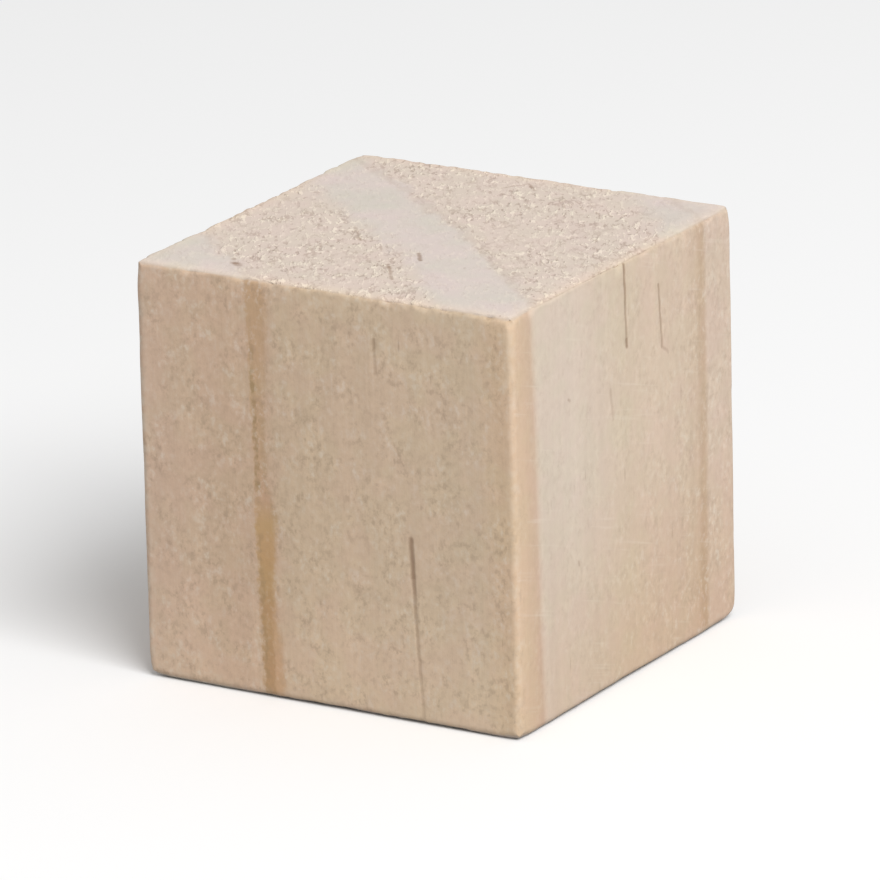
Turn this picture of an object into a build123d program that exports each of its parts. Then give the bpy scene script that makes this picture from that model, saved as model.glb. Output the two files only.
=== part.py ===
"""Wooden cube: one solid block of pine, sawn to length from a planed square stick.

Millimetres. The grain of the wood runs along +Z, so the top and the bottom are end grain and the four
sides are long grain. The origin is the centre of the bottom face. -Y is the front and +X the right side.

The block has no holes, joints or other pieces. Its form is its six faces and the way its edges are eased:
the sawn top edges are nearly sharp, the planed long edges are softer, and two edges of the foot are rubbed
rounder than the rest.
"""

import os

from build123d import *

# Overall sizes
width = 25.0  # along X, across the grain
depth = 25.0  # along Y, across the grain
height = 25.0  # along Z, along the grain

# How far each kind of edge is rounded
top_edge_radius = 0.3  # the four sawn edges of the top
eased_edge_radius = 0.5  # the front left and back right uprights, and the foot between them
front_right_radius = 0.4  # the upright between the front and the right side, the crispest of the four
left_foot_radius = 1.0  # the left edge of the foot, and the back left upright that it runs into
back_foot_radius = 1.8  # the back edge of the foot, the most worn one

to_front_right = Axis((0, 0, 0), (1, -1, 0))


def foot_edges(block):
    """The edges round the bottom face as it is now."""
    return block.faces().sort_by(Axis.Z)[0].edges()


def uprights(block):
    """The edges along the grain as they are now."""
    return block.edges().filter_by(Axis.Z)


with BuildPart() as wooden_cube:
    with BuildSketch(Plane.XY) as stick_section:
        Rectangle(width, depth)
    extrude(amount=height)

    # The two worn edges of the foot come first. The left one is tangent to the back left upright by then,
    # so its rounding carries on up that corner.
    fillet(foot_edges(wooden_cube).sort_by(Axis.Y)[-1], back_foot_radius)
    fillet(foot_edges(wooden_cube).sort_by(Axis.X)[0], left_foot_radius)

    fillet(uprights(wooden_cube).sort_by(to_front_right)[-1], front_right_radius)

    # The back right upright, the right and front edges of the foot and the front left upright are now one
    # smooth run of edge, so easing its first stretch eases all of it.
    right_uprights = uprights(wooden_cube).group_by(Axis.X)[-1]
    fillet(right_uprights.sort_by(Axis.Y)[-1], eased_edge_radius)

    fillet(wooden_cube.faces().sort_by(Axis.Z)[-1].edges(), top_edge_radius)

wooden_cube.part.label = "wooden_cube"

os.makedirs("parts", exist_ok=True)
export_step(wooden_cube.part, "parts/wooden_cube.step")
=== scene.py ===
"""A pine cube, 25 mm, sawn and lightly sanded: its worn shape, its wood, and a small daylight studio.

The wood is one solid field through the whole block, as in a real piece cut from a board. Growth rings run
through it as wide arcs, seen as bands on the end grain and as stripes along the four long-grain sides.
Lengths with _mm are millimetres from the middle of the foot of the block; Blender itself works in metres.
"""

import math
from typing import NamedTuple

import bpy
import numpy as np
from mathutils import Matrix, Vector


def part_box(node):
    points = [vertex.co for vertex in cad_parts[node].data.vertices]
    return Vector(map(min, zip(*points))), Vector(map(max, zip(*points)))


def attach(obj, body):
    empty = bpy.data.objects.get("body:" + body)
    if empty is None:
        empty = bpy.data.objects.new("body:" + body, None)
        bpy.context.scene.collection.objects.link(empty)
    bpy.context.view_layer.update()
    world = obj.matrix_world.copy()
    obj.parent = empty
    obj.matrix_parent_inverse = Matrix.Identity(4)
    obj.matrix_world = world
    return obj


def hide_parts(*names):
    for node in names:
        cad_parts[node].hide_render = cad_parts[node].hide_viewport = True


MM = 0.001

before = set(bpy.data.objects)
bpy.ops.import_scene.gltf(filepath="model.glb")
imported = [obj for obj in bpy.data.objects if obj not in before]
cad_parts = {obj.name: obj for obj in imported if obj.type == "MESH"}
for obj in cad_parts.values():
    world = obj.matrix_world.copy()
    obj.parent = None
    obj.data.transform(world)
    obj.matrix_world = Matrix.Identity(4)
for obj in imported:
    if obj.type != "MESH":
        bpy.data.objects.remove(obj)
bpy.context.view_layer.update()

# ---------------------------------------------------------------- the block's size and place, from its part in model.glb

low, high = (np.array(corner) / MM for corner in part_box("wooden_cube"))
side = high - low
middle = (low + high) / 2
half = side / 2
X, Y, Z = range(3)

# ---------------------------------------------------------------- shape

LATTICE = 127  # squares along each edge of a face
LINE_SAMPLES = 4001  # places along an edge at which the lattice lines' crowding is worked out
EDGE_CROWD = 2.2  # lattice lines added at the edges, for each one in the middle of a face
EDGE_CROWD_MM = 0.7  # how far in from an edge those have dropped to about a third
MARK_CROWD = 2.0  # lattice lines added at the canals in the sides, in the same way


class Edge(NamedTuple):
    """One of the block's twelve edges."""

    axes: tuple  # the two axes across it
    ends: tuple  # on which side of the block it is along each of them, -1 or 1
    radius: float  # how far it is rounded, in mm
    pale: float  # how much paler it is, from 0 to 1: rubbed pale, and in part a painted highlight along the edge, most of all at front_left


EDGES = {  # by the two faces that meet there
    "top_front": Edge((Y, Z), (-1, 1), 0.3, 0.25),
    "top_back": Edge((Y, Z), (1, 1), 0.3, 0.35),
    "top_left": Edge((X, Z), (-1, 1), 0.3, 0.35),
    "top_right": Edge((X, Z), (1, 1), 0.3, 0.12),
    # front_left is paled most: there the pale is mostly a painted highlight along the upright.
    "front_left": Edge((X, Y), (-1, -1), 0.5, 1.0),
    "front_right": Edge((X, Y), (1, -1), 0.4, 0.3),
    "back_right": Edge((X, Y), (1, 1), 0.5, 0.7),
    "back_left": Edge((X, Y), (-1, 1), 1.0, 0.7),
    "foot_front": Edge((Y, Z), (-1, -1), 0.5, 0.4),
    "foot_right": Edge((X, Z), (1, -1), 0.5, 0.4),
    "foot_left": Edge((X, Z), (-1, -1), 1.0, 0.6),
    "foot_back": Edge((Y, Z), (1, -1), 1.8, 0.6),
}
CORNER_EXTRA_MM = 0.2  # how much rounder the eight corners are than the edges that run into them
CORE_DEPTH_MM = 2.6  # how deep inside the block the points aim as they move in onto the rounded edges
HALVINGS = 24  # how often the way towards the core is halved to find the rounded surface

# How far in from the edges each kind of wear reaches, in mm
PALE_REACH_MM = 0.45  # rubbed pale, and painted highlight
NICKED_REACH_MM = 0.4
TOP_WEAR_REACH_MM = 0.8  # worn uneven, round the top only
CORNER_REACH_MM = 0.9  # rounder, at the eight corners
RIM_HIGHLIGHT_REACH_MM = 0.9  # painted highlight along the rim of the end grain, round the top only
EDGE_SHADE_REACH_MM = 0.28  # painted shade along the very edge of the top, round the top only

# How deep the wear is, all of it inwards, in mm
FACE_WAVE_MM = 0.012  # slow unevenness of every face
END_ROUGH_MM = 0.008  # unevenness of the dense end grain
TORN_ROUGH_MM = 0.040  # how much more uneven it is where it is torn
SIDE_ROUGH_MM = 0.005  # unevenness of the sides, drawn out along the grain
RAGGED_MM = 0.03  # depth of the nicks along every edge
RAGGED_TOP_MM = 0.07  # how much deeper they are round the top
TOP_RUB_MM = 0.02  # how much the edges of the top are rubbed down
CANAL_DEPTH_MM = 0.045
CHIP_COUNT = 64  # small bites out of the edges of the top
CHIP_REACH_MM = (0.2, 0.5)  # least and most
CHIP_DEPTH_MM = (0.06, 0.2)
CHIP_SLENDER = (0.8, 1.8)  # height of a chip as a share of its width
SAW_LINE = np.array([0.53, -0.848, 0.0])  # the way the saw went across the end grain
TUFT_STRETCH = 2.2  # tufts of torn fibre are this much longer along the saw's line than across it

# ---------------------------------------------------------------- growth rings

RING_ANGLE = math.radians(49)  # the way outwards from the heart of the tree, from +X towards +Y
RING_RADIUS_MM = 140  # of the ring through the middle of the block
GRAIN_LEAN_MM = 0.5  # how far the rings move outwards from the top of the block to its foot
DARK_STRIPE_MM = (-12.75, -11.72)  # the strongest latewood stripe, across the rings
LATE_LINES_MM = (-12.2, 1.45, 14.9)  # where latewood crosses the end grain, as dark lines
TORN_BANDS_MM = ((-12.2, -3.0), (1.7, 12.6))  # spring growth, which tears under the saw
RING_WAVER = (  # how the rings waver: an amount in mm, the size of the waves on each axis and a seed
    (0.14, (5, 5, 16), 11),
    (0.04, (1.4, 1.4, 9), 12),
)

# Marks that run a little way through the wood: resin canals along the sides, and checks in the end grain.
# Each has two ends, a width and how dark it is at either end.


def on_front(across, down):
    """A point of the front face, as shares of its width from the left and of its height from the top."""
    return (low[0] + across * side[0], low[1], high[2] - down * side[2])


def on_right(across, down):
    """A point of the right face, as shares of its width from the front and of its height from the top."""
    return (high[0], low[1] + across * side[1], high[2] - down * side[2])


def on_top(across, forward):
    """A point of the top, as shares of its width from the left and of its depth from the back."""
    return (low[0] + across * side[0], high[1] - forward * side[1], high[2])


MARKS = (
    (on_front(0.722, 0.56), on_front(0.726, 0.65), 0.23, 0.80, 0.85),
    (on_front(0.726, 0.65), on_front(0.734, 0.79), 0.20, 0.70, 0.45),
    (on_front(0.734, 0.79), on_front(0.746, 0.98), 0.18, 0.42, 0.22),
    (on_front(0.637, 0.10), on_front(0.640, 0.18), 0.17, 0.45, 0.25),
    (on_right(0.500, -0.01), on_right(0.506, 0.19), 0.19, 0.80, 0.55),
    (on_right(0.506, 0.19), on_right(0.507, 0.205), 0.24, 0.8, 0.8),
    (on_right(0.655, 0.10), on_right(0.668, 0.25), 0.18, 0.55, 0.55),
    (on_right(0.668, 0.25), on_right(0.695, 0.272), 0.17, 0.4, 0.25),
    (on_right(0.430, 0.29), on_right(0.440, 0.36), 0.20, 0.25, 0.15),
    (on_right(0.243, 0.258), on_right(0.250, 0.262), 0.14, 0.4, 0.3),
    (on_right(0.275, 0.652), on_right(0.277, 0.660), 0.14, 0.3, 0.3),
    (on_top(0.218, 0.908), on_top(0.232, 0.920), 0.38, 0.95, 0.5),
    (on_top(0.195, 0.880), on_top(0.200, 0.888), 0.20, 0.6, 0.4),
    (on_top(0.550, 0.655), on_top(0.585, 0.705), 0.20, 0.7, 0.8),
    (on_top(0.530, 0.755), on_top(0.600, 0.855), 0.18, 0.8, 0.6),
    (on_top(0.310, 0.540), on_top(0.375, 0.625), 0.17, 0.5, 0.5),
    (on_top(0.450, 0.115), on_top(0.485, 0.055), 0.16, 0.4, 0.6),
    (on_top(0.485, 0.055), on_top(0.530, 0.100), 0.16, 0.6, 0.4),
)

NOISE_TABLE = 4096  # random values that the noise picks from
NOISE_PRIMES = np.array([73856093, 19349663, 83492791])  # they spread neighbouring places over the table


def smooth_step(value, start, end):
    """0 up to start, 1 from end on and an easy curve between them. start may be above end."""
    t = np.clip((value - start) / (end - start), 0, 1)
    return t * t * (3 - 2 * t)


def fade(distance, reach):
    """1 at no distance, falling in a bell curve to nothing at about twice reach."""
    return np.exp(-((distance / reach) ** 2))


def noise(points, cell, seed):
    """Smooth noise from -1 to 1 at each point. cell is the size of its lumps, for all axes or for each."""
    table = np.random.default_rng(seed).uniform(-1, 1, NOISE_TABLE)
    scaled = points / cell
    corner = np.floor(scaled).astype(np.int64)
    t = scaled - corner
    t = t * t * (3 - 2 * t)
    total = np.zeros(len(points))
    for step in np.ndindex(2, 2, 2):
        pick = np.bitwise_xor.reduce((corner + step) * NOISE_PRIMES, axis=1) % NOISE_TABLE
        total += table[pick] * np.prod(np.where(step, t, 1 - t), axis=1)
    return total


def lattice_lines(axis):
    """Places of the lattice lines along one axis, closer together at the edges and at the canals."""
    at = np.linspace(low[axis], high[axis], LINE_SAMPLES)
    from_edge = np.minimum(at - low[axis], high[axis] - at)
    crowd = 1 + EDGE_CROWD * np.exp(-from_edge / EDGE_CROWD_MM)
    for start, end, width, *_ in MARKS:
        if axis != Z and max(start[Z], end[Z]) < high[Z]:  # a canal in a side, which runs up the grain
            reach = abs(start[axis] - end[axis]) / 2 + width
            if reach < side[axis] / 10:
                crowd += MARK_CROWD * fade(at - (start[axis] + end[axis]) / 2, reach)
    filled = np.concatenate([[0], np.cumsum((crowd[1:] + crowd[:-1]) / 2)])
    return np.interp(np.linspace(0, filled[-1], LATTICE + 1), filled, at)


def box_lattice():
    """A lattice of squares over the block's six flat faces, before any wear.

    Returns the points, the four point numbers of each square, and for each square its face and its four
    corners as shares of the face's two axes."""
    lines = [lattice_lines(axis) for axis in range(3)]
    steps = np.arange(LATTICE)
    keys, squares, shares = [], [], []
    for axis in range(3):
        others = [a for a in range(3) if a != axis]
        for end in (0, LATTICE):
            # In this order a square faces along +axis, except about Y, where it faces the other way.
            round_trip = [(0, 0), (1, 0), (1, 1), (0, 1)]
            if (end == 0) != (axis == Y):
                round_trip.reverse()
            first, second = (grid.ravel() for grid in np.meshgrid(steps, steps, indexing="ij"))
            corners = np.empty((len(first), 4, 3), dtype=np.int64)
            corners[:, :, axis] = end
            for number, (a, b) in enumerate(round_trip):
                corners[:, number, others[0]] = first + a
                corners[:, number, others[1]] = second + b
            keys.append(corners.reshape(-1, 3))
            squares.append(np.full(len(first), axis * 2 + (end > 0)))
            flat = [(lines[a][corners[:, :, a]] - low[a]) / side[a] for a in others]
            shares.append(np.stack(flat, axis=2))
    keys = np.concatenate(keys)
    points, numbers = np.unique(keys, axis=0, return_inverse=True)
    places = np.stack([lines[a][points[:, a]] for a in range(3)], axis=1)
    return places, numbers.reshape(-1, 4), np.concatenate(squares), np.concatenate(shares)


def depths_at_edge(points, edge):
    """How far inside each of the two faces that meet at an edge the points lie."""
    return [
        half[axis] - end * (points[:, axis] - middle[axis])
        for axis, end in zip(edge.axes, edge.ends, strict=True)
    ]


def near_edges(points):
    """How far each point is from any edge and from the edges of the top, and how pale its edge makes it, by
    rubbing and by a painted highlight.
    """
    nearest = np.full(len(points), np.inf)
    nearest_top = np.full(len(points), np.inf)
    pale = np.zeros(len(points))
    for name, edge in EDGES.items():
        away = np.hypot(*depths_at_edge(points, edge))
        nearest = np.minimum(nearest, away)
        pale = np.maximum(pale, edge.pale * fade(away, PALE_REACH_MM))
        if name.startswith("top"):
            nearest_top = np.minimum(nearest_top, away)
    return nearest, nearest_top, pale


def rounded(box, uneven, extra):
    """The box's points, each moved towards the core until it lies on or inside the rounding of every edge.

    uneven is a factor on the roundings at each point, and extra is added to them there."""
    core = middle + np.clip(box - middle, CORE_DEPTH_MM - half, half - CORE_DEPTH_MM)
    out_of_shape, in_shape = np.zeros(len(box)), np.ones(len(box))
    for _ in range(HALVINGS):
        share = (out_of_shape + in_shape) / 2
        points = box + share[:, None] * (core - box)
        past = np.zeros(len(box), dtype=bool)
        for edge in EDGES.values():
            reach = edge.radius * uneven + extra
            first, second = depths_at_edge(points, edge)
            past |= np.hypot(np.maximum(reach - first, 0), np.maximum(reach - second, 0)) > reach
        out_of_shape = np.where(past, share, out_of_shape)
        in_shape = np.where(past, in_shape, share)
    return box + in_shape[:, None] * (core - box)


def outward(points, squares):
    """The direction out of the surface at each point, the mean of the squares around it."""
    corners = points[squares]
    facing = np.cross(corners[:, 2] - corners[:, 0], corners[:, 3] - corners[:, 1])
    out = np.zeros_like(points)
    for number in range(4):
        np.add.at(out, squares[:, number], facing)
    return out / np.linalg.norm(out, axis=1)[:, None]


def ring_place(points):
    """How far out from the middle ring each point lies, in mm across the rings, with their slow waver."""
    out = np.array([math.cos(RING_ANGLE), math.sin(RING_ANGLE)])
    heart = middle[:2] - RING_RADIUS_MM * out
    place = np.linalg.norm(points[:, :2] - heart, axis=1) - RING_RADIUS_MM
    down = (high[Z] - points[:, Z]) / side[Z]
    place -= GRAIN_LEAN_MM * down * smooth_step(place, 14, 4)  # the outermost rings stand straight
    for amount, waves, seed in RING_WAVER:
        place = place + amount * noise(points, waves, seed)
    return place


def squeezed_along_saw(points):
    """The points drawn together along the saw's line, so that noise taken there is longer that way."""
    return points - ((points @ SAW_LINE)[:, None] * SAW_LINE) * (1 - 1 / TUFT_STRETCH)


def torn_wood(points, ring):
    """1 in the soft spring growth just outside each latewood line, which tears, and 0 in the dense growth."""
    lie = squeezed_along_saw(points)
    place = ring + 1.0 * noise(lie, 2.2, 51) + 0.7 * noise(lie, 0.7, 52)
    torn = np.zeros(len(points))
    for start, end in TORN_BANDS_MM:
        inner_edge = smooth_step(place, start - 0.8, start + 0.8)
        outer_edge = smooth_step(place, end + 1, end - 1.2)
        torn = np.maximum(torn, inner_edge * outer_edge)
    return torn


def near_marks(points):
    """How deep each point lies in a mark, from 0 to 1."""
    deep = np.zeros(len(points))
    for start, end, width, start_dark, end_dark in MARKS:
        start, run = np.array(start), np.array(end) - np.array(start)
        t = np.clip((points - start) @ run / (run @ run), 0, 1)
        away = np.linalg.norm(points - start - t[:, None] * run, axis=1)
        dark = start_dark + (end_dark - start_dark) * t
        deep = np.maximum(deep, dark * smooth_step(away, width, width * 0.3))
    return deep


def chips(points):
    """Small bites out of the edges of the top, where the saw broke the fibres, as depths in mm."""
    random = np.random.default_rng(61)
    deep = np.zeros(len(points))
    for _ in range(CHIP_COUNT):
        spot = np.array([*random.uniform(low[:2], high[:2]), high[Z]])
        axis = random.integers(2)
        spot[axis] = (low, high)[random.integers(2)][axis]
        reach = random.uniform(*CHIP_REACH_MM)
        depth = random.uniform(*CHIP_DEPTH_MM)
        size = np.array([reach, reach, reach * random.uniform(*CHIP_SLENDER)])
        away = np.linalg.norm((points - spot) / size, axis=1)
        deep = np.maximum(deep, depth * smooth_step(away, 1, 0.2))
    return deep


def worn_depth(points, end_grain, torn, at_edge, at_top_edge):
    """How deep sawing, rubbing and torn fibres have sunk each point, in mm."""
    lie = squeezed_along_saw(points)
    tufts = 0.55 * noise(lie, 0.42, 31) + 0.45 * noise(lie, 0.25, 32)
    fibres = noise(points, (0.5, 0.5, 5), 42)
    ragged = 0.5 * noise(points, 0.55, 43) + 0.5 * noise(points, 1.7, 44)
    sunk = FACE_WAVE_MM * (1 + noise(points, 6.5, 41))
    sunk += end_grain * (END_ROUGH_MM + TORN_ROUGH_MM * torn) * (1 + tufts)
    sunk += (1 - end_grain) * SIDE_ROUGH_MM * (1 + fibres)
    sunk += (RAGGED_MM + RAGGED_TOP_MM * at_top_edge) * at_edge * np.clip(ragged + 0.1, 0, 1)
    sunk += at_top_edge * TOP_RUB_MM + chips(points)
    return sunk + CANAL_DEPTH_MM * near_marks(points)


def shaped_block():
    """The points of the worn block, with what the wood's material needs to know at each of them."""
    box, squares, faces, shares = box_lattice()
    from_edge, from_top_edge, pale = near_edges(box)
    at_top_edge = fade(from_top_edge, TOP_WEAR_REACH_MM)
    uneven = 1 + (0.10 + 0.20 * at_top_edge) * noise(box, 2.6, 21)
    uneven += (0.05 + 0.20 * at_top_edge) * noise(box, 0.8, 22)
    from_corner = np.linalg.norm(np.abs(np.abs(box - middle) - half), axis=1)
    points = rounded(box, uneven, CORNER_EXTRA_MM * fade(from_corner, CORNER_REACH_MM))
    out = outward(points, squares)

    ring = ring_place(points)
    end_grain = smooth_step(np.abs(out[:, Z]), 0.45, 0.85)
    torn = torn_wood(points, ring)
    at_edge = fade(from_edge, NICKED_REACH_MM)
    points = points - worn_depth(points, end_grain, torn, at_edge, at_top_edge)[:, None] * out
    wood = {
        "ring": ring,
        "end_grain": end_grain,
        "torn": torn,
        # Where the edges are rubbed pale and carry a painted highlight.
        "pale": pale,
        # Where the painted highlight on the rim of the end grain goes.
        "rim_highlight": fade(from_top_edge, RIM_HIGHLIGHT_REACH_MM),
        # Where the painted shade along the very edge of the top goes.
        "brink": fade(from_top_edge, EDGE_SHADE_REACH_MM),
    }
    return points, squares, faces, shares, wood


def lay_out_map(mesh, faces, shares):
    """Gives each of the six faces its own cell of the UV map, three across and two up.

    A cell is taller than wide, so a side lies with its grain across it, with more room across the grain."""
    margin = 0.004
    cell = np.array([1 / 3, 1 / 2])
    column = (faces % 3)[:, None]
    row = (faces // 3)[:, None]
    is_side = (faces < 4)[:, None]
    across = np.where(is_side, shares[:, :, 1], shares[:, :, 0])
    up = np.where(is_side, shares[:, :, 0], shares[:, :, 1])
    u = column * cell[0] + margin + across * (cell[0] - 2 * margin)
    v = row * cell[1] + margin + up * (cell[1] - 2 * margin)
    layer = mesh.uv_layers.new(name="OFBake")
    layer.uv.foreach_set("vector", np.stack([u, v], axis=2).astype(np.float32).ravel())


def make_block():
    """The block as one closed mesh."""
    points, squares, faces, shares, wood = shaped_block()
    mesh = bpy.data.meshes.new("pine_block")
    mesh.from_pydata((points * MM).tolist(), [], squares.tolist())
    mesh.polygons.foreach_set("use_smooth", np.ones(len(squares), dtype=bool))
    for name, values in wood.items():
        attribute = mesh.attributes.new(name, "FLOAT", "POINT")
        attribute.data.foreach_set("value", values.astype(np.float32))
    lay_out_map(mesh, faces, shares)
    mesh.update()
    block = bpy.data.objects.new("pine_block", mesh)
    bpy.context.scene.collection.objects.link(block)
    return block


# ---------------------------------------------------------------- material


class Shader:
    """Builds a tree's nodes. Where a value is asked for, it may be a number, a colour or another output."""

    def __init__(self, tree):
        self.tree = tree
        tree.nodes.clear()

    def node(self, kind, inputs=None, **settings):
        made = self.tree.nodes.new(kind)
        for name, value in settings.items():
            setattr(made, name, value)
        self.feed(made, inputs or {})
        return made

    def feed(self, node, inputs):
        for name, value in inputs.items():
            if isinstance(value, bpy.types.NodeSocket):
                self.tree.links.new(value, node.inputs[name])
            else:
                node.inputs[name].default_value = value

    def math(self, operation, *values, clamp=False):
        inputs = dict(enumerate(values))
        return self.node("ShaderNodeMath", inputs, operation=operation, use_clamp=clamp).outputs[0]

    def plus(self, first, second):
        return self.math("ADD", first, second)

    def times(self, first, second):
        return self.math("MULTIPLY", first, second)

    def about_zero(self, noise):
        """Noise from 0 to 1 as -0.5 to 0.5."""
        return self.plus(noise, -0.5)

    def swing(self, noise, strength):
        """Noise from 0 to 1 as up to half of strength either way."""
        return self.times(self.about_zero(noise), strength)

    def vector(self, operation, *values, output=0):
        return self.node("ShaderNodeVectorMath", dict(enumerate(values)), operation=operation).outputs[output]

    def group(self, group, inputs):
        made = self.node("ShaderNodeGroup", node_tree=group)
        self.feed(made, inputs)
        return made

    def attribute(self, name):
        return self.node("ShaderNodeAttribute", attribute_name=name).outputs["Fac"]

    def rise(self, value, start, end, bottom=0.0, top=1.0):
        """bottom until value reaches start, top from end on, and an easy curve between."""
        inputs = {"Value": value, "From Min": start, "From Max": end, "To Min": bottom, "To Max": top}
        return self.node("ShaderNodeMapRange", inputs, interpolation_type="SMOOTHSTEP").outputs["Result"]

    def noise(self, place, cell, detail=2.0, roughness=0.5, output="Fac"):
        """Noise from 0 to 1 with lumps of about cell, in the units of place."""
        inputs = {"Vector": place, "Scale": 1 / cell, "Detail": detail, "Roughness": roughness}
        return self.node("ShaderNodeTexNoise", inputs).outputs[output]

    # A Mix node has the sockets of every kind of value, so they are known by their numbers.

    def mix(self, amount, first, second, blend="MIX"):
        """One colour blended over another."""
        made = self.node("ShaderNodeMix", data_type="RGBA", blend_type=blend, clamp_factor=True)
        first, second = (
            value if isinstance(value, bpy.types.NodeSocket) else (*value, 1) for value in (first, second)
        )
        self.feed(made, {0: amount, 6: first, 7: second})
        return made.outputs[2]

    def mix_numbers(self, amount, first, second):
        return self.node("ShaderNodeMix", {0: amount, 2: first, 3: second}, data_type="FLOAT").outputs[0]

    def tint(self, colour, factor):
        """A colour made lighter or darker by a factor."""
        grey = self.node("ShaderNodeCombineColor", dict.fromkeys(("Red", "Green", "Blue"), factor)).outputs[0]
        return self.mix(1.0, colour, grey, "MULTIPLY")

    def multiply(self, amount, colour, factor):
        """A colour multiplied by another, as far as amount says."""
        return self.mix(amount, colour, self.mix(1.0, colour, factor, "MULTIPLY"))

    def ramp(self, value, low_end, high_end, stops):
        """A colour for each value between low_end and high_end. Each stop is a value and its colour."""
        share = self.node(
            "ShaderNodeMapRange", {"Value": value, "From Min": low_end, "From Max": high_end}
        ).outputs["Result"]
        made = self.node("ShaderNodeValToRGB", {"Fac": share})
        elements = made.color_ramp.elements
        while len(elements) < len(stops):
            elements.new(0.5)
        for element, (at, colour) in zip(elements, stops, strict=True):
            element.position = (at - low_end) / (high_end - low_end)
            element.color = (*colour, 1)
        return made.outputs["Color"]


RING_RANGE_MM = (-18, 18)  # across the rings, from the -X -Y corner of the block to the +X +Y one
# Colours of the long grain across the rings, in the same direction. The warmer tan of the inner rings, which
# make the front and left sides, is partly the wood's own and partly painted warm bounce light on those shaded
# sides.
LONG_GRAIN = (
    (-17.5, (0.655, 0.480, 0.352)),
    (-14.0, (0.645, 0.467, 0.330)),
    (-12.0, (0.645, 0.467, 0.330)),
    (-11.5, (0.668, 0.503, 0.356)),
    (-6.0, (0.668, 0.510, 0.366)),
    (-2.2, (0.675, 0.520, 0.372)),
    (-0.9, (0.672, 0.492, 0.332)),
    (0.3, (0.674, 0.500, 0.350)),
    (0.8, (0.634, 0.464, 0.334)),
    (1.15, (0.615, 0.455, 0.340)),
    (1.32, (0.665, 0.535, 0.425)),
    (1.6, (0.681, 0.574, 0.469)),
    (4.0, (0.684, 0.575, 0.475)),
    (6.7, (0.664, 0.547, 0.434)),
    (8.4, (0.656, 0.538, 0.410)),
    (10.3, (0.672, 0.532, 0.416)),
    (13.2, (0.660, 0.524, 0.404)),
    (14.3, (0.640, 0.496, 0.374)),
    (14.7, (0.582, 0.432, 0.309)),
    (15.0, (0.582, 0.432, 0.309)),
    (15.3, (0.664, 0.526, 0.420)),
    (17.6, (0.672, 0.528, 0.416)),
)
ROUGH_GROWTH = (  # how mottled the long grain is across the rings
    (-17.5, 1.0),
    (-1.0, 0.95),
    (0.2, 0.35),
    (1.2, 0.35),
    (2.0, 0.50),
    (7.0, 0.60),
    (13.0, 0.90),
    (16.0, 1.10),
)
# The dark stripe's colour from the foot of the block to its top.
STRIPE = (
    (0.0, (0.560, 0.345, 0.192)),
    (3.0, (0.545, 0.336, 0.180)),
    (6.0, (0.556, 0.348, 0.178)),
    (8.0, (0.575, 0.364, 0.182)),
    (10.5, (0.587, 0.380, 0.198)),
    (12.0, (0.610, 0.395, 0.262)),
    (14.0, (0.572, 0.380, 0.228)),
    (25.0, (0.566, 0.376, 0.220)),
)
STRIPE_SOFT = (0.645, 0.415, 0.252)
STRIPE_LINE = (0.420, 0.285, 0.155)
PAINTED_WARM_SHADE_AT_FOOT = (0.945, 0.880, 0.815)  # painted shade and warm bounce light: what the outer rings' colour is multiplied by at the foot
END_SMOOTH_COOL = (0.606, 0.552, 0.490)
END_SMOOTH_PINK = (0.638, 0.552, 0.508)
END_TORN = (0.642, 0.541, 0.468)
TORN_SHADOW = (0.330, 0.235, 0.185)
# Pale tufts of torn fibre, partly painted glints where they stand up into the light.
TORN_TUFT_GLINT = (0.850, 0.750, 0.625)
LATE_LINE = (0.520, 0.430, 0.365)
# The colour of pale edges: rubbed wood, and in part a painted highlight along them.
ARRIS = (0.715, 0.605, 0.490)
ROSY = (1.007, 0.993, 1.002)  # what the colour is multiplied by in rosy patches
SALLOW = (0.994, 1.005, 0.991)  # and in the sallow ones between them
PAINTED_RIM_HIGHLIGHT = (1.09, 1.06, 1.015)  # painted highlight: what the rim of the end grain is multiplied by
PAINTED_EDGE_SHADE = (0.84, 0.825, 0.80)  # painted shade: what the very edge of the top is multiplied by, where its rounding faces the lamp and broken fibres hold shade
SPECK_PALE = (0.770, 0.668, 0.560)
SPECK_DARK = (0.385, 0.280, 0.200)
RESIN = (0.235, 0.135, 0.080)
SANDING_TILT = math.radians(-17)  # of the scratches, from level, about +X
SCRATCH_STRETCH = 26  # how many times longer than wide a scratch is


MARK_INPUTS = {  # a place, and then what each of the marks has, in the same order
    "Place": "NodeSocketVector",
    "Start": "NodeSocketVector",
    "End": "NodeSocketVector",
    "Width": "NodeSocketFloat",
    "Start Dark": "NodeSocketFloat",
    "End Dark": "NodeSocketFloat",
}


def mark_group():
    """A node group: how dark a place is from one mark, whose core is the line between two points."""
    tree = bpy.data.node_groups.new("mark", "ShaderNodeTree")
    for name, kind in MARK_INPUTS.items():
        tree.interface.new_socket(name, in_out="INPUT", socket_type=kind)
    tree.interface.new_socket("Dark", in_out="OUTPUT", socket_type="NodeSocketFloat")
    inside = Shader(tree)
    given = tree.nodes.new("NodeGroupInput").outputs
    run = inside.vector("SUBTRACT", given["End"], given["Start"])
    reach = inside.vector("SUBTRACT", given["Place"], given["Start"])
    length = inside.vector("DOT_PRODUCT", run, run, output="Value")
    t = inside.math("DIVIDE", inside.vector("DOT_PRODUCT", reach, run, output="Value"), length, clamp=True)
    scaled = inside.node("ShaderNodeVectorMath", {0: run, "Scale": t}, operation="SCALE").outputs[0]
    away = inside.vector("LENGTH", inside.vector("SUBTRACT", reach, scaled), output="Value")
    edge = inside.rise(away, given["Width"], inside.times(given["Width"], 0.25))
    dark = inside.rise(t, 0.0, 1.0, given["Start Dark"], given["End Dark"])
    out = tree.nodes.new("NodeGroupOutput")
    tree.links.new(inside.times(edge, dark), out.inputs["Dark"])
    return tree


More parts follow.
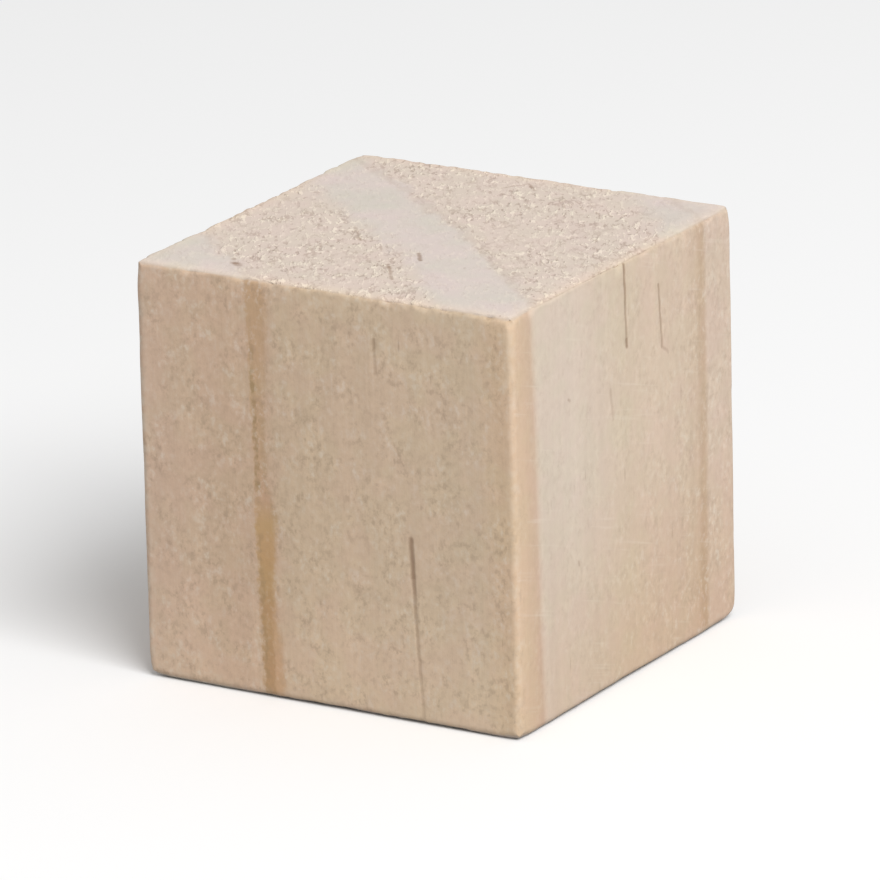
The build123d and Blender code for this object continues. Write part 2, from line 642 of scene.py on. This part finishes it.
def all_marks(shader, place):
    """How dark a place is from any of the marks."""
    group = mark_group()
    # The marks aren't ruler lines: the place is shaken a little before it is measured.
    shake = shader.vector("SUBTRACT", shader.noise(place, 0.7, output="Color"), (0.5, 0.5, 0.5))
    shaken = shader.vector("ADD", place, shader.vector("MULTIPLY", shake, (0.16, 0.16, 0.16)))
    total = 0.0
    for mark in MARKS:
        inputs = dict(zip(MARK_INPUTS, (shaken, *mark), strict=True))
        total = shader.math("MAXIMUM", total, shader.group(group, inputs).outputs[0])
    return total


def scattered_canals(shader, place):
    """Fine resin canals all through the wood: short dashes along the grain, and dots on the end grain."""
    stretched = shader.vector("MULTIPLY", place, (1 / 1.3, 1 / 1.3, 1 / 7))
    cells = shader.node("ShaderNodeTexVoronoi", {"Vector": stretched, "Scale": 1.0, "Randomness": 1.0})
    chosen = shader.node("ShaderNodeSeparateColor", {"Color": cells.outputs["Color"]})
    dark = shader.rise(chosen.outputs["Red"], 0.3, 1.0, 0.1, 0.8)
    width = shader.rise(chosen.outputs["Green"], 0.0, 1.0, 0.05, 0.11)
    inside = shader.rise(cells.outputs["Distance"], width, shader.times(width, 0.3))
    return shader.times(inside, dark)


def dark_stripe(shader, ring, height, waver):
    """How strong the dark stripe is, its paler outer part near the foot, and the thin lines along it."""
    start, end = DARK_STRIPE_MM
    across = shader.plus(ring, waver)
    # It is thinnest just above half height and again a quarter of the way up.
    above = shader.times(shader.rise(height, 24, 17, 0, 0.42), shader.rise(height, 10.4, 13.4))
    below = shader.plus(shader.rise(height, 11.5, 6.5, 0.08, 0.30), shader.rise(height, 5.2, 2.8, 0, -0.20))
    thinner = shader.plus(above, below)
    left = shader.rise(across, start - 0.12, start + 0.10)
    right = shader.rise(shader.plus(across, thinner), end + 0.20, end - 0.26)
    band = shader.times(shader.times(left, right), shader.rise(height, 11.5, 14.0, 1.0, 0.80))
    soft = shader.times(shader.rise(across, start + 0.38, start + 0.62), shader.rise(height, 6, 3))
    lines = 0.0
    for place, line_mm, low_end, high_end, strength in (
        (across, start + 0.13, 11, 22.5, 0.95),
        (across, start + 0.10, -3, 12, 0.50),
        (shader.plus(across, thinner), end - 0.10, 9.5, 19.5, 0.35),
    ):
        away = shader.math("ABSOLUTE", shader.plus(place, -line_mm))
        foot_end = shader.rise(height, low_end, low_end + 2)
        top_end = shader.rise(height, high_end, high_end - 3)
        strong = shader.times(shader.times(foot_end, top_end), strength)
        line = shader.times(shader.rise(away, 0.14, 0.03), strong)
        lines = shader.math("MAXIMUM", lines, line)
    broken = shader.noise(shader.node("ShaderNodeCombineXYZ", {"Z": height}).outputs[0], 0.7, 3)
    return band, soft, shader.times(lines, shader.rise(broken, 0.38, 0.58, 0.1, 1.0))


def long_grain(shader, wood):
    """Colour of the four sides, and how far each place is in the dark stripe."""
    ring, height = wood["ring"], wood["height"]
    colour = shader.ramp(ring, *RING_RANGE_MM, LONG_GRAIN)
    # Painted shade and warm bounce light: the outer rings grow darker and warmer towards the foot.
    painted_warm_shade = shader.times(shader.rise(ring, -0.5, 3.0), shader.rise(height, 15, 0))
    colour = shader.multiply(painted_warm_shade, colour, PAINTED_WARM_SHADE_AT_FOOT)
    # Painted bounce light: the inner rings, on the front and left sides, are made lighter towards the foot.
    painted_bounce_at_foot = shader.times(shader.rise(ring, 0, -2), shader.rise(height, 10, 1))
    colour = shader.tint(colour, shader.plus(shader.times(painted_bounce_at_foot, 0.075), 1.0))
    waver = shader.plus(shader.swing(wood["streaks"], 0.30), shader.swing(wood["mottle"], 0.55))
    band, soft, lines = dark_stripe(shader, ring, height, waver)
    stripe = shader.mix(soft, shader.ramp(height, 0, 25, STRIPE), STRIPE_SOFT)
    colour = shader.mix(band, colour, stripe)
    return shader.mix(lines, colour, STRIPE_LINE), band


def end_grain(shader, wood):
    """Colour of the top and bottom, and the height of its torn fibres above the dense wood."""
    torn = wood["torn"]
    lie = shader.node(
        "ShaderNodeMapping",
        {
            "Vector": wood["place"],
            "Rotation": (0, 0, math.atan2(SAW_LINE[1], SAW_LINE[0])),
            "Scale": (TUFT_STRETCH, 1, 1),
        },
        vector_type="TEXTURE",
    ).outputs[0]
    other = shader.vector("ADD", lie, (7, 3, 5))  # far enough for noise that has nothing to do with the first
    wriggle = shader.math("ABSOLUTE", shader.about_zero(shader.noise(lie, 0.75, 2, 0.6)))
    cracked = shader.rise(shader.noise(other, 1.1, 1), 0.48, 0.60)
    cracks = shader.times(shader.rise(wriggle, 0.055, 0.010), cracked)
    pits = shader.rise(shader.noise(lie, 0.32, 2, 0.65), 0.55, 0.68)
    dark = shader.math("MAXIMUM", shader.times(cracks, 0.60), shader.times(pits, 0.72))
    tufts = shader.rise(shader.noise(other, 0.37, 2, 0.68), 0.50, 0.66)
    crowded = shader.rise(shader.noise(wood["place"], 2.6, 1), 0.36, 0.60, 0.6, 1.1)
    everywhere = shader.times(shader.plus(shader.times(torn, 0.74), 0.26), crowded)

    patches = shader.rise(shader.noise(wood["place"], 5.0, 1), 0.35, 0.65)
    colour = shader.mix(patches, END_SMOOTH_COOL, END_SMOOTH_PINK)
    colour = shader.mix(torn, colour, END_TORN)
    waver = shader.swing(shader.noise(lie, 1.3, 3, 0.65), 1.8)
    for line_mm in LATE_LINES_MM:
        away = shader.math("ABSOLUTE", shader.plus(shader.plus(wood["ring"], waver), -line_mm))
        colour = shader.mix(shader.rise(away, 0.50, 0.05, 0, 0.36), colour, LATE_LINE)
    # Tufts of torn fibre: paler fibre, and partly painted glints on them.
    colour = shader.mix(shader.times(tufts, shader.times(everywhere, 0.64)), colour, TORN_TUFT_GLINT)
    colour = shader.mix(shader.times(dark, shader.times(everywhere, 0.66)), colour, TORN_SHADOW)
    raised = shader.plus(tufts, shader.times(pits, -0.7))
    return colour, shader.times(raised, everywhere)


def speckled(shader, wood, colour, band):
    """The long grain with its light and dark specks: the cut ends of fibres that dip into the sawn face."""
    greys = tuple((place, (rough, rough, rough)) for place, rough in ROUGH_GROWTH)
    rough_growth = shader.ramp(wood["ring"], *RING_RANGE_MM, greys)
    crowded = shader.rise(shader.noise(wood["place"], 1.8, 1), 0.36, 0.62, 0.35, 1.0)
    stripe = shader.times(band, shader.rise(wood["height"], 14, 10))
    amount = shader.times(shader.times(rough_growth, crowded), shader.rise(stripe, 0, 1, 1.0, 0.35))
    specks = shader.noise(shader.vector("MULTIPLY", wood["place"], (1, 1, 0.8)), 0.36, 3, 0.6)
    shade = shader.swing(wood["mottle"], 0.36)
    shade = shader.plus(shade, shader.swing(shader.noise(wood["place"], 1.1, 1), 0.16))
    colour = shader.tint(colour, shader.plus(shader.times(shade, amount), 1.0))
    pale = shader.times(shader.rise(specks, 0.50, 0.71), shader.times(amount, 0.50))
    amount = shader.times(amount, shader.rise(wood["ring"], -1, 3, 0.43, 0.26))
    dark = shader.times(shader.rise(specks, 0.50, 0.31), amount)
    return shader.mix(dark, shader.mix(pale, colour, SPECK_PALE), SPECK_DARK)


def shade_of_fibres(shader, wood):
    """Light and dark of the fibres, as a factor about 1. It is weaker on end grain."""
    shade = 0.0
    for name, strength in (("fibre", 0.05), ("streaks", 0.12), ("drift", 0.10)):
        shade = shader.plus(shade, shader.swing(wood[name], strength))
    return shader.plus(shader.times(shade, shader.rise(wood["end"], 0, 1, 1.0, 0.35)), 1.0)


def sandpaper_scratches(shader, place, normal):
    """How scratched the wood is. Sandpaper went across the +X and -X sides, slightly downhill to the back."""
    lie = shader.node(
        "ShaderNodeMapping",
        {"Vector": place, "Rotation": (SANDING_TILT, 0, 0), "Scale": (1, SCRATCH_STRETCH, 1)},
        vector_type="TEXTURE",
    ).outputs[0]
    facing = shader.node("ShaderNodeSeparateXYZ", {0: normal}).outputs["X"]
    scratches = shader.rise(shader.noise(lie, 0.32, 2, 0.6), 0.57, 0.72)
    patches = shader.rise(shader.noise(place, 3.0, 1), 0.40, 0.60, 0.2, 1.0)
    sanded = shader.rise(shader.math("ABSOLUTE", facing), 0.6, 0.9)
    return shader.times(shader.times(scratches, patches), sanded)


def wood_fields(shader, place):
    """What the wood is like at each place, by name. place is in mm."""
    along_grain = shader.vector("MULTIPLY", place, (1, 1, 0.035))
    return {
        "place": place,
        "height": shader.node("ShaderNodeSeparateXYZ", {0: place}).outputs["Z"],
        "ring": shader.attribute("ring"),
        "end": shader.attribute("end_grain"),
        "torn": shader.attribute("torn"),
        "fibre": shader.noise(along_grain, 0.14, 2),
        "streaks": shader.noise(along_grain, 0.9, 3),
        "drift": shader.noise(shader.vector("MULTIPLY", place, (1, 1, 0.3)), 7, 2),
        "mottle": shader.noise(shader.vector("MULTIPLY", place, (1, 1, 0.8)), 0.5, 3, 0.62),
    }


def edge_wear_and_painted_light(shader, wood, colour):
    """The colour at the edges: arrises paled by rubbing and in part by a painted highlight, a painted
    highlight round the rim of the end grain, and painted shade along the very edge of the top.
    """
    uneven = shader.rise(shader.noise(wood["place"], 0.8, 3, 0.65), 0.38, 0.64, 0.0, 1.0)
    # Rubbed pale arrises, partly a painted highlight.
    colour = shader.mix(shader.times(shader.attribute("pale"), uneven), colour, ARRIS)
    # Painted highlight round the rim of the end grain.
    rim_highlight = shader.times(shader.attribute("rim_highlight"), wood["end"])
    colour = shader.multiply(rim_highlight, colour, PAINTED_RIM_HIGHLIGHT)
    # Painted shade along the very edge of the top.
    return shader.multiply(shader.attribute("brink"), colour, PAINTED_EDGE_SHADE)


def fine_relief(shader, wood, end_height):
    """A bump for relief too fine for the mesh. Its heights are in hundredths of a millimetre."""
    side_height = shader.plus(shader.times(wood["fibre"], 0.9), shader.times(wood["mottle"], 2.2))
    height = shader.mix_numbers(wood["end"], side_height, shader.times(end_height, 3.0))
    inputs = {"Strength": 1.0, "Distance": 0.01 * MM, "Height": height}
    return shader.node("ShaderNodeBump", inputs).outputs[0]


def pine():
    """Bare pine: long grain on the sides and end grain on the top and bottom."""
    material = bpy.data.materials.new("pine")
    material.use_nodes = True
    shader = Shader(material.node_tree)
    coordinates = shader.node("ShaderNodeTexCoord").outputs
    place = shader.vector("MULTIPLY", coordinates["Object"], (1 / MM, 1 / MM, 1 / MM))
    wood = wood_fields(shader, place)

    end_colour, end_height = end_grain(shader, wood)
    side_colour = speckled(shader, wood, *long_grain(shader, wood))
    scratches = sandpaper_scratches(shader, place, coordinates["Normal"])
    side_colour = shader.mix(shader.times(scratches, 0.28), side_colour, SPECK_PALE)
    colour = shader.mix(wood["end"], side_colour, end_colour)
    colour = shader.tint(colour, shade_of_fibres(shader, wood))
    hue = shader.mix(shader.rise(shader.noise(place, 1.9, 1, 0.6), 0.36, 0.64), ROSY, SALLOW)
    colour = edge_wear_and_painted_light(shader, wood, shader.mix(1.0, colour, hue, "MULTIPLY"))

    # Canals and checks are dark with resin.
    fine_canals = shader.times(scattered_canals(shader, place), 0.6)
    dark = shader.math("MAXIMUM", all_marks(shader, place), fine_canals)
    colour = shader.mix(shader.times(dark, 0.8), colour, RESIN)

    dull = shader.plus(wood["mottle"], shader.times(wood["torn"], 0.3))
    surface = shader.node(
        "ShaderNodeBsdfPrincipled",
        {
            "Base Color": colour,
            "Roughness": shader.rise(dull, 0.2, 1.0, 0.78, 0.96),
            "Normal": fine_relief(shader, wood, end_height),
            "Specular IOR Level": 0.3,
        },
    )
    shader.node("ShaderNodeOutputMaterial", {"Surface": surface.outputs[0]})
    return material


# ---------------------------------------------------------------- studio

FLOOR_SIZE = 6.0
FLOOR_SEEN = (0.90, 0.90, 0.90)  # the floor as the camera and reflections see it
FLOOR_FELT = (0.42, 0.42, 0.42)  # the floor as it lights the block
WORLD_LIGHT = 0.5
KEY_DIRECTION = Vector((0.60, -0.34, 0.73)).normalized()
KEY_DISTANCE = 0.9
KEY_SIZE = 0.55
KEY_ENERGY = 7.4
CAMERA_AZIMUTH = math.radians(31.5)
CAMERA_ELEVATION = math.radians(17.8)
CAMERA_ROLL = math.radians(-1.4)
CAMERA_DISTANCE = 21.7 * side[Z] * MM
LENS_MM = 385


def seen_directly(shader):
    """1 for rays from the camera, and for those that metal or glass would send on."""
    path = shader.node("ShaderNodeLightPath").outputs
    sent_on = shader.math("MAXIMUM", path["Is Glossy Ray"], path["Is Transmission Ray"])
    return shader.math("MAXIMUM", path["Is Camera Ray"], sent_on)


def make_floor():
    mesh = bpy.data.meshes.new("floor")
    reach = FLOOR_SIZE / 2
    corners = [(-reach, -reach, 0), (reach, -reach, 0), (reach, reach, 0), (-reach, reach, 0)]
    mesh.from_pydata(corners, [], [(0, 1, 2, 3)])
    material = bpy.data.materials.new("floor")
    material.use_nodes = True
    shader = Shader(material.node_tree)
    colour = shader.mix(seen_directly(shader), FLOOR_FELT, FLOOR_SEEN)
    surface = shader.node("ShaderNodeBsdfDiffuse", {"Color": colour})
    shader.node("ShaderNodeOutputMaterial", {"Surface": surface.outputs[0]})
    mesh.materials.append(material)
    floor = bpy.data.objects.new("floor", mesh)
    bpy.context.scene.collection.objects.link(floor)


def make_world():
    world = bpy.data.worlds.new("studio")
    world.use_nodes = True
    shader = Shader(world.node_tree)
    strength = shader.mix_numbers(seen_directly(shader), WORLD_LIGHT, 1.0)
    light = shader.node("ShaderNodeBackground", {"Color": (1, 1, 1, 1), "Strength": strength})
    shader.node("ShaderNodeOutputWorld", {"Surface": light.outputs[0]})
    bpy.context.scene.world = world


def make_key():
    data = bpy.data.lights.new("key", "AREA")
    data.shape = "SQUARE"
    data.size = KEY_SIZE
    data.energy = KEY_ENERGY
    lamp = bpy.data.objects.new("key", data)
    lamp.location = Vector(middle * MM) + KEY_DIRECTION * KEY_DISTANCE
    lamp.rotation_euler = KEY_DIRECTION.to_track_quat("Z", "Y").to_euler()
    bpy.context.scene.collection.objects.link(lamp)


def make_camera():
    back = Vector((
        math.sin(CAMERA_AZIMUTH) * math.cos(CAMERA_ELEVATION),
        -math.cos(CAMERA_AZIMUTH) * math.cos(CAMERA_ELEVATION),
        math.sin(CAMERA_ELEVATION),
    ))
    right = Vector((math.cos(CAMERA_AZIMUTH), math.sin(CAMERA_AZIMUTH), 0))
    up = back.cross(right)
    turned_right = right * math.cos(CAMERA_ROLL) + up * math.sin(CAMERA_ROLL)
    turned_up = up * math.cos(CAMERA_ROLL) - right * math.sin(CAMERA_ROLL)
    data = bpy.data.cameras.new("camera")
    data.lens = LENS_MM
    data.clip_start = 0.01
    data.clip_end = 20
    camera = bpy.data.objects.new("camera", data)
    turn = Matrix((turned_right, turned_up, back)).transposed().to_4x4()
    camera.matrix_world = Matrix.Translation(Vector(middle * MM) + back * CAMERA_DISTANCE) @ turn
    bpy.context.scene.collection.objects.link(camera)
    bpy.context.scene.camera = camera


# ---------------------------------------------------------------- the scene

block = make_block()
block.data.materials.append(pine())
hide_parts("wooden_cube")
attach(block, "root")

make_floor()
make_world()
make_key()
make_camera()
bpy.context.scene.view_settings.view_transform = "Standard"
